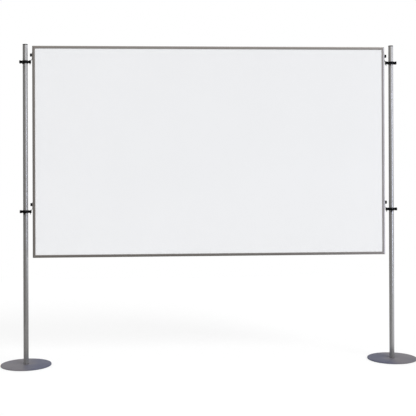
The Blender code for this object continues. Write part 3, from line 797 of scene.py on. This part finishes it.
def dress_stands():
    """The right stand is the left one turned round, so that each disc's painted shade, darker and
    bluer, faces inwards.
    """
    low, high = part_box("left_post")
    tube = post_tube(high.z - low.z)
    cap_low, cap_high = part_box("left_end_cap")
    cap = end_cap(cap_high.z - cap_low.z - CAP_STEM)
    disc_low, disc_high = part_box("left_base_disc")
    disc = base_disc((disc_high.x - disc_low.x) / 2, disc_high.z - disc_low.z)
    bolt_low, bolt_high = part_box("left_base_bolt")
    bolt = base_bolt(bolt_high.z - bolt_low.z)
    ring_low, ring_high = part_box("left_floor_ring")
    ring = floor_ring((ring_high.x - ring_low.x) / 2, ring_high.z - ring_low.z)
    shapes = [
        ("post", tube, "tube", low.z),
        ("end_cap", cap, "grey_plastic", cap_low.z + CAP_STEM),
        ("base_disc", disc, "disc", disc_low.z),
        ("base_bolt", bolt, "zinc", bolt_low.z),
        ("floor_ring", ring, "rubber", ring_low.z),
    ]
    for side in SIDES:
        axis = middle(f"{side}_post")
        half_turn = Matrix.Rotation(0 if side == "left" else math.pi, 4, "Z")
        for name, mesh, slot, height in shapes:
            place = Matrix.Translation((axis.x, axis.y, height)) @ half_turn
            stand_in(f"{side}_{name}", mesh, slot, place)
        refinish(f"{side}_post_plug", "steel_plug")


# Clamps, sleeves and levers


def clamp_ring():
    half = RING_HEIGHT / 2
    profile = [(0, half), (RING_OUTSIDE, half), (RING_OUTSIDE, -half), (0, -half)]
    return turned(eased(profile, 2 * EDGE), ROUND_STEPS)


def clamp_necks():
    """Both arms in one outline: each leaves the ring in a hollow sweep and runs into its block."""
    root_x = RING_OUTSIDE * math.cos(NECK_ROOT_ANGLE)
    root_y = RING_OUTSIDE * math.sin(NECK_ROOT_ANGLE)
    end_x = BLOCK_START + OVERLAP
    end_y = NECK_WIDTH / 2
    bend = (root_x + (root_y - end_y) * math.tan(NECK_ROOT_ANGLE) / 2, end_y)
    sweep = []
    for i in range(BEND_STEPS + 1):
        t = i / BEND_STEPS
        x = (1 - t) ** 2 * root_x + 2 * t * (1 - t) * bend[0] + t**2 * end_x
        y = (1 - t) ** 2 * root_y + 2 * t * (1 - t) * bend[1] + t**2 * end_y
        sweep.append((x, y))
    upper = sweep[::-1] + [(-x, y) for x, y in sweep]
    lower = [(-x, -y) for x, y in sweep[::-1]] + [(x, -y) for x, y in sweep]
    return plate([upper + lower], NECK_HEIGHT)


def clamp_block(side):
    outline = rounded_rectangle(BLOCK_END - BLOCK_START, BLOCK_WIDTH, BLOCK_ROUND, BEND_STEPS)
    block = plate([outline], BLOCK_HEIGHT)
    return moved(block, Matrix.Translation((side * (BLOCK_START + BLOCK_END) / 2, 0, 0)))


def clamp_boss():
    root = RING_INSIDE + CLEARANCE
    cone = rod(BOSS_RADIUS + RING_ABOVE_BOSS / 2, root, BOSS_FACE, SMALL_STEPS, BOSS_RADIUS)
    return moved(cone, FORWARD)


def pocket_cutters(side):
    """A slot down through the block, and the slanting mouth that leads the hook into it."""
    slot = box((SLOT_THICK, SLOT_WIDTH, BLOCK_HEIGHT + 2 * OVERLAP))
    mouth = bmesh.new()
    bmesh.ops.create_cube(mouth, size=1.0)
    top = BLOCK_HEIGHT / 2 + OVERLAP
    bottom = BLOCK_HEIGHT / 2 - POCKET_MOUTH - OVERLAP
    for vertex in mouth.verts:
        upper = vertex.co.z > 0
        spread = POCKET_MOUTH + OVERLAP if upper else -OVERLAP
        vertex.co.x = math.copysign(SLOT_THICK / 2 + spread, vertex.co.x)
        vertex.co.y = math.copysign(SLOT_WIDTH / 2 + spread, vertex.co.y)
        vertex.co.z = top if upper else bottom
    funnel = bpy.data.meshes.new("mouth")
    mouth.to_mesh(funnel)
    mouth.free()
    shift = Matrix.Translation((side * POCKET_REACH, 0, 0))
    return moved(slot, shift), moved(funnel, shift)


def clamp_body():
    body = joined(clamp_ring(), clamp_necks(), clamp_block(-1), clamp_block(1), clamp_boss())
    bore = rod(RING_INSIDE, -BLOCK_HEIGHT, BLOCK_HEIGHT, ROUND_STEPS)
    seat_end = BOSS_FACE - 2 * CLEARANCE - CLAMP_INSERT_LENGTH
    seat = moved(rod(INSERT_HOLE, seat_end, BOSS_FACE + OVERLAP, SMALL_STEPS), FORWARD)
    screw_hole = moved(rod(SCREW_HOLE, 0, BOSS_FACE, SMALL_STEPS), FORWARD)
    body = cut(body, bore, seat, screw_hole)
    for side in (-1, 1):
        body = cut(body, *pocket_cutters(side))
    return remoulded(body, CLAMP_VOXEL, CLAMP_SMOOTHING)


def grip_sleeve():
    """A split liner that a lip above and below the ring keeps in the clamp, its slit at the back."""
    lip = SLEEVE_OUTSIDE + SLEEVE_LIP
    inner = RING_HEIGHT / 2 + CLEARANCE
    outer = inner + SLEEVE_LIP_THICK
    corners = [
        ((SLEEVE_INSIDE, outer), EDGE),
        ((lip, outer), EDGE),
        ((lip, inner), EDGE),
        ((SLEEVE_OUTSIDE, inner), 0),
        ((SLEEVE_OUTSIDE, -inner), 0),
        ((lip, -inner), EDGE),
        ((lip, -outer), EDGE),
        ((SLEEVE_INSIDE, -outer), EDGE),
    ]
    points, radii = zip(*corners)
    slit = box((SLEEVE_SLIT, 2 * lip, 4 * outer), (0, lip, 0))
    return cut(turned(softened(points, radii, ring=True), ROUND_STEPS, ring=True), slit)


def clamp_lever():
    """Thumb lever and its screw on the Y axis, the arm pointing straight down."""
    back = BOSS_FACE + CLEARANCE
    front = back + HUB_LENGTH
    hub = turned(
        softened(
            [(0, front), (HUB_RADIUS, front), (HUB_RADIUS, back), (0, back)],
            [0, HUB_ROUND, EDGE, 0],
        ),
        SMALL_STEPS,
    )
    end = LEVER_REACH - LEVER_TIP_WIDTH / 2
    outline = [(-LEVER_ROOT_WIDTH / 2, 0)]
    outline += arc(0, -end, LEVER_TIP_WIDTH / 2, math.pi, math.tau, BEND_STEPS)
    outline += [(LEVER_ROOT_WIDTH / 2, 0)]
    arm = plate([outline], LEVER_THICK)
    for vertex in arm.vertices:
        vertex.co.z -= LEVER_LEAN * vertex.co.y
    arm = moved(arm, Matrix.Translation((0, 0, (back + front) / 2)))
    moulding = remoulded(joined(hub, arm), LEVER_VOXEL, LEVER_SMOOTHING)
    tip = SLEEVE_OUTSIDE + CLEARANCE
    screw = rod(SCREW_RADIUS, tip, back + OVERLAP, SMALL_STEPS)
    return moved(joined(moulding, screw), FORWARD)


# Hooks and their thumb screws


def hook_stations():
    """The bent centre line, from its top: length along it, the point, and the way its outside faces.

    The first number of a point is its distance from the post axis towards the board.
    """
    plate_line = HOOK_PLATE_FACE + HOOK_THICK / 2
    shelf = BLOCK_HEIGHT / 2 + CLEARANCE + HOOK_THICK / 2
    corners = [
        (plate_line, HOOK_SCREW_RISE + HOOK_ABOVE_SCREW),
        (plate_line, shelf + HOOK_JOG_RISE),
        (plate_line - HOOK_JOG_RUN, shelf),
        (POCKET_REACH, shelf),
        (POCKET_REACH, -BLOCK_HEIGHT / 2 - TONGUE_PROUD),
    ]
    stations = []
    length = 0.0

    def heading_after(i):
        return math.atan2(corners[i + 1][1] - corners[i][1], corners[i + 1][0] - corners[i][0])

    def add(x, z, heading, step):
        nonlocal length
        length += step
        stations.append((length, x, z, math.sin(heading), -math.cos(heading)))

    add(*corners[0], heading_after(0), 0.0)
    for i in range(1, len(corners) - 1):
        before = heading_after(i - 1)
        turn = math.remainder(heading_after(i) - before, math.tau)
        tangent = HOOK_BEND * math.tan(abs(turn) / 2)
        side = math.copysign(HOOK_BEND, turn)
        start_x = corners[i][0] - tangent * math.cos(before)
        start_z = corners[i][1] - tangent * math.sin(before)
        centre_x = start_x - side * math.sin(before)
        centre_z = start_z + side * math.cos(before)
        straight = math.dist((start_x, start_z), stations[-1][1:3])
        add(start_x, start_z, before, straight)
        for step in range(1, BEND_STEPS + 1):
            heading = before + turn * step / BEND_STEPS
            x = centre_x + side * math.sin(heading)
            z = centre_z - side * math.cos(heading)
            add(x, z, heading, HOOK_BEND * abs(turn) / BEND_STEPS)
    last = corners[-1]
    add(*last, heading_after(len(corners) - 2), math.dist(last, stations[-1][1:3]))
    return stations


def hook():
    """A strip cut flat, with its screw hole and tapered tongue, then bent along its centre line."""
    stations = hook_stations()
    total = stations[-1][0]
    half = HOOK_WIDTH / 2
    tip = TONGUE_TIP_WIDTH / 2
    corners = [
        ((-half, total - TONGUE_TAPER), EDGE),
        ((-tip, total), 2 * EDGE),
        ((tip, total), 2 * EDGE),
        ((half, total - TONGUE_TAPER), EDGE),
        ((half, 0), HOOK_CORNER),
        ((-half, 0), HOOK_CORNER),
    ]
    points, radii = zip(*corners)
    hole = circle(0, HOOK_ABOVE_SCREW, SCREW_HOLE, SMALL_STEPS)
    mesh = bevelled(plate([softened(points, radii, ring=True), hole], HOOK_THICK), EDGE)

    shape = bmesh.new()
    shape.from_mesh(mesh)
    for station in stations[1:-1]:
        everything = shape.verts[:] + shape.edges[:] + shape.faces[:]
        bmesh.ops.bisect_plane(
            shape, geom=everything, dist=WELD, plane_co=(0, station[0], 0), plane_no=(0, 1, 0)
        )
    for vertex in shape.verts:
        across, along, out = vertex.co
        i = 0
        while i < len(stations) - 2 and along > stations[i + 1][0] + WELD:
            i += 1
        before = stations[i]
        after = stations[i + 1]
        share = (along - before[0]) / (after[0] - before[0])
        x, z, out_x, out_z = [a + (b - a) * share for a, b in zip(before[1:], after[1:])]
        vertex.co = (x + out * out_x, across, z + out * out_z)
    bmesh.ops.recalc_face_normals(shape, faces=shape.faces)
    shape.to_mesh(mesh)
    shape.free()
    return mesh


def thumb_screw():
    """Fluted head with a dished face, collar and screw along Z; the hook's outer face is z = 0."""
    head_bottom = CLEARANCE + HEAD_COLLAR_THICK
    head_top = head_bottom + HEAD_THICK
    rim = HEAD_DIAMETER / 2
    dish = HEAD_DISH_RADIUS + HEAD_DISH_DEPTH
    tip = CHAMBER_START - FRAME_FACE + STUD_SPARE - HOOK_THICK
    corners = [
        ((0, head_top - HEAD_DISH_DEPTH), 0),
        ((HEAD_DISH_RADIUS, head_top - HEAD_DISH_DEPTH), HEAD_DISH_DEPTH),
        ((dish, head_top), EDGE),
        ((rim, head_top), HEAD_EDGE),
        ((rim, head_bottom), HEAD_EDGE),
        ((HEAD_COLLAR_DIAMETER / 2, head_bottom), 0),
        ((HEAD_COLLAR_DIAMETER / 2, CLEARANCE), EDGE),
        ((SCREW_RADIUS, CLEARANCE), 0),
        ((SCREW_RADIUS, tip), EDGE),
        ((0, tip), 0),
    ]
    points, radii = zip(*corners)
    mesh = turned(softened(points, radii), 2 * ROUND_STEPS)
    for vertex in mesh.vertices:
        radius = math.hypot(vertex.co.x, vertex.co.y)
        fluted = (radius - dish) / (rim - dish)
        if fluted > 0:
            angle = math.atan2(vertex.co.y, vertex.co.x)
            wave = (1 + math.cos(HEAD_FLUTES * angle)) / 2
            shrink = 1 - fluted * HEAD_FLUTE_DEPTH * (1 - wave) / radius
            vertex.co.x *= shrink
            vertex.co.y *= shrink
    return mesh


def dress_clamps_and_hooks():
    clamp = clamp_body()
    sleeve = grip_sleeve()
    lever = clamp_lever()
    strip = hook()
    screw = thumb_screw()
    for side in SIDES:
        axis = middle(f"{side}_post")
        to_board = 1 if side == "left" else -1
        for level in LEVELS:
            name = f"{side}_{level}"
            height = middle(f"{name}_clamp").z
            centre = Matrix.Translation((axis.x, axis.y, height))
            stand_in(f"{name}_clamp", clamp, "black_plastic", centre)
            stand_in(f"{name}_grip_sleeve", sleeve, "grey_plastic", centre)
            lever_turn = Matrix.Rotation(LEVER_TURNS[name], 4, "Y")
            stand_in(f"{name}_clamp_lever", lever, "black_plastic", centre @ lever_turn)
            half_turn = Matrix.Rotation(0 if side == "left" else math.pi, 4, "Z")
            stand_in(f"{name}_hook", strip, "zinc", centre @ half_turn)
            at_hook = Matrix.Translation(
                (axis.x + to_board * HOOK_PLATE_FACE, axis.y, height + HOOK_SCREW_RISE)
            )
            outwards = Matrix.Rotation(-to_board * math.pi / 2, 4, "Y")
            stand_in(f"{name}_hook_screw", screw, "black_plastic", at_hook @ outwards)
            refinish(f"{name}_frame_insert", "zinc")
            refinish(f"{name}_clamp_insert", "brass")


# Studio


class Studio:
    """Nodes for the floor and the world: what a ray meets depends on how it got there."""

    def __init__(self, tree):
        self.tree = tree
        tree.nodes.clear()
        self.path = tree.nodes.new("ShaderNodeLightPath").outputs
        self.camera = self.path["Is Camera Ray"]
        self.mirrored = self.larger(self.path["Is Glossy Ray"], self.path["Is Transmission Ray"])

    def put(self, node, inputs):
        for name, value in inputs.items():
            socket = node.inputs[name]
            if isinstance(value, bpy.types.NodeSocket):
                self.tree.links.new(value, socket)
            else:
                socket.default_value = value
        return node

    def larger(self, first, second):
        made = self.tree.nodes.new("ShaderNodeMath")
        made.operation = "MAXIMUM"
        return self.put(made, {0: first, 1: second}).outputs[0]

    def ramp(self, value, start, end, low=0.0, high=1.0):
        made = self.tree.nodes.new("ShaderNodeMapRange")
        ends = {"From Min": start, "From Max": end, "To Min": low, "To Max": high}
        return self.put(made, {"Value": value, **ends}).outputs["Result"]

    def along(self, axis):
        """Where the ray met the floor, or which way it went into the world."""
        place = self.tree.nodes.new("ShaderNodeNewGeometry").outputs["Position"]
        return self.put(self.tree.nodes.new("ShaderNodeSeparateXYZ"), {0: place}).outputs[axis]

    def chosen(self, share, low, high):
        made = self.tree.nodes.new("ShaderNodeMix")
        return self.put(made, {0: share, 2: low, 3: high}).outputs[0]

    def tinted(self, share, low, high):
        """A colour between two, each a socket or three numbers."""
        made = self.tree.nodes.new("ShaderNodeMix")
        made.data_type = "RGBA"
        low, high = [c if isinstance(c, bpy.types.NodeSocket) else (*c, 1.0) for c in (low, high)]
        return self.put(made, {0: share, 6: low, 7: high}).outputs[2]

    def gradient(self, share, stops, reach):
        """Colours at their places from -reach to reach, and what lies between them."""
        made = self.tree.nodes.new("ShaderNodeValToRGB")
        elements = made.color_ramp.elements
        while len(elements) < len(stops):
            elements.new(1.0)
        for element, (place, colour) in zip(elements, stops):
            element.position = (place / reach + 1) / 2
            element.color = (*colour, 1.0)
        return self.put(made, {"Fac": share}).outputs["Color"]


def lay_floor():
    """Matt and pale, white to the camera but for the shadows on it; metal sees it with painted shade,
    darker on its left, and a painted pool of light near the right stand.

    It goes with a stand, because the stands stay on the floor when the board is raised or lowered.
    """
    shape = bmesh.new()
    bmesh.ops.create_grid(shape, x_segments=1, y_segments=1, size=FLOOR_HALF)
    mesh = bpy.data.meshes.new("floor")
    shape.to_mesh(mesh)
    shape.free()
    floor = bpy.data.objects.new("floor", mesh)
    floor.location = (0, 0, -CLEARANCE)
    bpy.context.scene.collection.objects.link(floor)
    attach(floor, BODY_OF["left_base_disc"])

    made = bpy.data.materials.new("pale floor")
    made.use_nodes = True
    tree = made.node_tree
    studio = Studio(tree)
    # painted shade and a painted pool of light, which only metal sees on the floor
    across = studio.ramp(studio.along("X"), -FLOOR_HALF, FLOOR_HALF)
    room = studio.gradient(across, FLOOR_MIRRORED, FLOOR_HALF)
    near = studio.ramp(studio.along("Y"), *POOL_DEPTH)
    pool = studio.ramp(studio.along("X"), *POOL_ACROSS, 0.0, near)
    reflected = studio.tinted(pool, room, POOL_COLOUR)
    colour = studio.tinted(studio.camera, reflected, WHITE)
    level = studio.chosen(studio.camera, 1.0, FLOOR_WHITE)
    share = studio.chosen(studio.camera, studio.mirrored, FLOOR_GLOW)
    matt = studio.put(tree.nodes.new("ShaderNodeBsdfDiffuse"), {"Color": (*FLOOR_COLOUR, 1.0)})
    glow = studio.put(tree.nodes.new("ShaderNodeEmission"), {"Color": colour, "Strength": level})
    parts = {0: share, 1: matt.outputs[0], 2: glow.outputs[0]}
    mix = studio.put(tree.nodes.new("ShaderNodeMixShader"), parts)
    studio.put(tree.nodes.new("ShaderNodeOutputMaterial"), {"Surface": mix.outputs[0]})
    mesh.materials.append(made)


def hang_flag():
    """A dark card beside the left post, which only metal sees."""
    corners = [(*place, height) for height in FLAG_HEIGHTS for place in FLAG_PLACES]
    mesh = bpy.data.meshes.new("flag")
    mesh.from_pydata(corners, [], [(0, 1, 3, 2)])
    flag = bpy.data.objects.new("flag", mesh)
    bpy.context.scene.collection.objects.link(flag)
    for rays in ("camera", "diffuse", "shadow", "transmission", "volume_scatter"):
        setattr(flag, f"visible_{rays}", False)

    made = bpy.data.materials.new("dark card")
    made.use_nodes = True
    tree = made.node_tree
    tree.nodes.clear()
    glow = tree.nodes.new("ShaderNodeEmission")
    glow.inputs["Color"].default_value = (*FLAG_COLOUR, 1.0)
    output = tree.nodes.new("ShaderNodeOutputMaterial")
    tree.links.new(glow.outputs[0], output.inputs["Surface"])
    mesh.materials.append(made)


def set_world():
    """White to the camera. Metal sees a pale backdrop behind and a room that is darker on its left."""
    world = bpy.data.worlds.new("studio")
    bpy.context.scene.world = world
    world.use_nodes = True
    tree = world.node_tree
    studio = Studio(tree)
    across = studio.ramp(studio.along("X"), -1.0, 1.0)
    room = studio.gradient(across, ROOM_MIRRORED, 1.0)
    behind = studio.ramp(studio.along("Y"), *BACKDROP_FADE)
    reflected = studio.tinted(behind, room, BACKDROP)
    rise = studio.ramp(studio.along("Z"), *ROOM_RISE, *ROOM_LEVEL)
    colour = studio.tinted(studio.camera, studio.tinted(studio.mirrored, WHITE, reflected), WHITE)
    level = studio.chosen(studio.camera, studio.chosen(studio.mirrored, FILL, rise), 1.0)
    shown = {"Color": colour, "Strength": level}
    background = studio.put(tree.nodes.new("ShaderNodeBackground"), shown)
    studio.put(tree.nodes.new("ShaderNodeOutputWorld"), {"Surface": background.outputs[0]})


def aim(thing, place, target):
    thing.location = place
    thing.rotation_mode = "QUATERNION"
    direction = Vector(target) - Vector(place)
    thing.rotation_quaternion = direction.to_track_quat("-Z", "Y")


def set_lamps():
    sun_data = bpy.data.lights.new("key", "SUN")
    sun_data.energy = KEY_ENERGY
    sun_data.angle = KEY_ANGLE
    sun = bpy.data.objects.new("key", sun_data)
    bpy.context.scene.collection.objects.link(sun)
    aim(sun, KEY_PLACE, KEY_TARGET)

    strip_data = bpy.data.lights.new("strip", "AREA")
    strip_data.shape = "RECTANGLE"
    strip_data.size = STRIP_SIZE[0]
    strip_data.size_y = STRIP_SIZE[1]
    strip_data.energy = STRIP_ENERGY
    strip_data.color = STRIP_COLOUR
    strip = bpy.data.objects.new("strip", strip_data)
    bpy.context.scene.collection.objects.link(strip)
    strip.visible_diffuse = False
    aim(strip, STRIP_PLACE, STRIP_TARGET)


def set_camera():
    data = bpy.data.cameras.new("camera")
    data.sensor_width = SENSOR
    data.lens = FOCAL_PIXELS / IMAGE_SIZE * SENSOR
    data.shift_y = (HORIZON_ROW - IMAGE_SIZE / 2) / IMAGE_SIZE
    camera = bpy.data.objects.new("camera", data)
    turn = Matrix.Rotation(CAMERA_YAW, 4, "Z") @ Matrix.Rotation(CAMERA_PITCH, 4, "X")
    turn = turn @ Matrix.Rotation(CAMERA_ROLL, 4, "Y") @ Matrix.Rotation(math.pi / 2, 4, "X")
    camera.matrix_world = Matrix.Translation(CAMERA_PLACE) @ turn
    bpy.context.scene.collection.objects.link(camera)
    bpy.context.scene.camera = camera


finishes = {
    "frame": drawn_metal("anodised frame", (0.303, 0.282, 0.264), 0.34, 0.75),
    "tube": drawn_metal("silver tube", (0.385, 0.38, 0.375), 0.26, 0.62),
    # the disc's second colour is painted shade, darker and bluer, which its coat takes towards the
    # middle of the board
    "disc": powder_coat("grey powder coat", (0.178, 0.170, 0.186), (0.112, 0.118, 0.168), 0.45, 0.04),
    "sheet": white_laminate("white laminate", (0.845, 0.852, 0.868), 0.43),
    "core": paper_core("honeycomb board", (0.55, 0.42, 0.28), 0.9),
    "casting": cast_metal("cast alloy", (0.40, 0.40, 0.41), 0.55),
    "steel_plug": cast_metal("machined steel", (0.42, 0.42, 0.42), 0.40),
    "zinc": plated_steel("zinc plate", (0.42, 0.42, 0.41), 0.38),
    "brass": plated_steel("brass", (0.60, 0.44, 0.18), 0.32),
    "black_plastic": moulded_plastic("black moulding", (0.003, 0.003, 0.0034), 0.55, 0.12),
    "grey_plastic": moulded_plastic("dark grey moulding", (0.010, 0.0105, 0.0105), 0.52, 0.20),
    "rubber": soft_rubber("black rubber", (0.02, 0.02, 0.02), 0.8),
}

dress_board()
dress_stands()
dress_clamps_and_hooks()
lay_floor()
hang_flag()
set_world()
set_lamps()
set_camera()

bpy.context.scene.view_settings.view_transform = "Standard"
